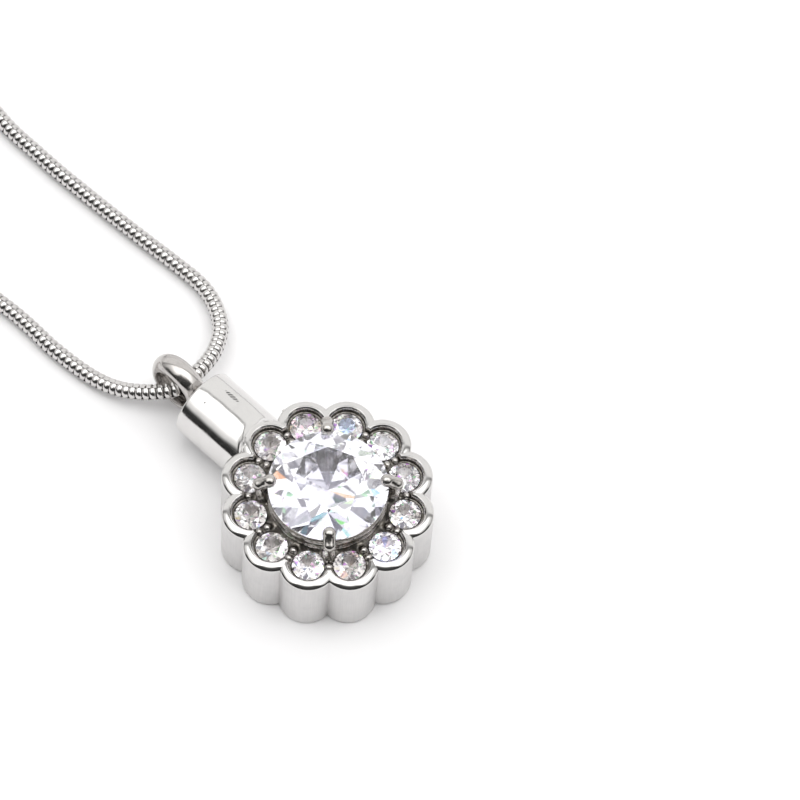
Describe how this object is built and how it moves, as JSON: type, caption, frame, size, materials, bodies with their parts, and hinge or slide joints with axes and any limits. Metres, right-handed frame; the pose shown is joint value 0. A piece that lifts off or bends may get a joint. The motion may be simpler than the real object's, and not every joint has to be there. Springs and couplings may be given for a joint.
{
  "type": "keepsake urn pendant",
  "caption": "Flower-shaped keepsake urn pendant with a raised round stone inside a ring of small stones, a screw-in ring on its neck and a snake chain necklace.",
  "frame": {"origin": "middle of the case's flat back", "axes": "+Z out of the case's face, through the middle stone; +Y along the neck, from the case towards the ring and the chain; +X to the right, looking down on the stones with the neck pointing away"},
  "size_m": [0.1318, 0.1888, 0.0098],
  "materials": {
    "polished_steel": "polished stainless steel",
    "cast_setting": "polished casting, darkened in its recesses",
    "chain_steel": "polished stainless steel links",
    "centre_stone": "clear cut stone",
    "small_stone": "clear cut stones"
  },
  "bodies": {
    "necklace": {"ring_screw": "polished_steel", "chain": "chain_steel", "clasp": "polished_steel"},
    "urn": {"case": "polished_steel", "setting": "cast_setting", "centre_stone": "centre_stone", "accent_stone_1": "small_stone", "accent_stone_2": "small_stone", "accent_stone_3": "small_stone", "accent_stone_4": "small_stone", "accent_stone_5": "small_stone", "accent_stone_6": "small_stone", "accent_stone_7": "small_stone", "accent_stone_8": "small_stone", "accent_stone_9": "small_stone", "accent_stone_10": "small_stone", "accent_stone_11": "small_stone", "accent_stone_12": "small_stone"}
  },
  "joints": [
    {"name": "neck_unscrew", "type": "slide", "parent": "necklace", "child": "urn", "axis": [0, -1, 0], "range_m": [0, 0.007]}
  ]
}
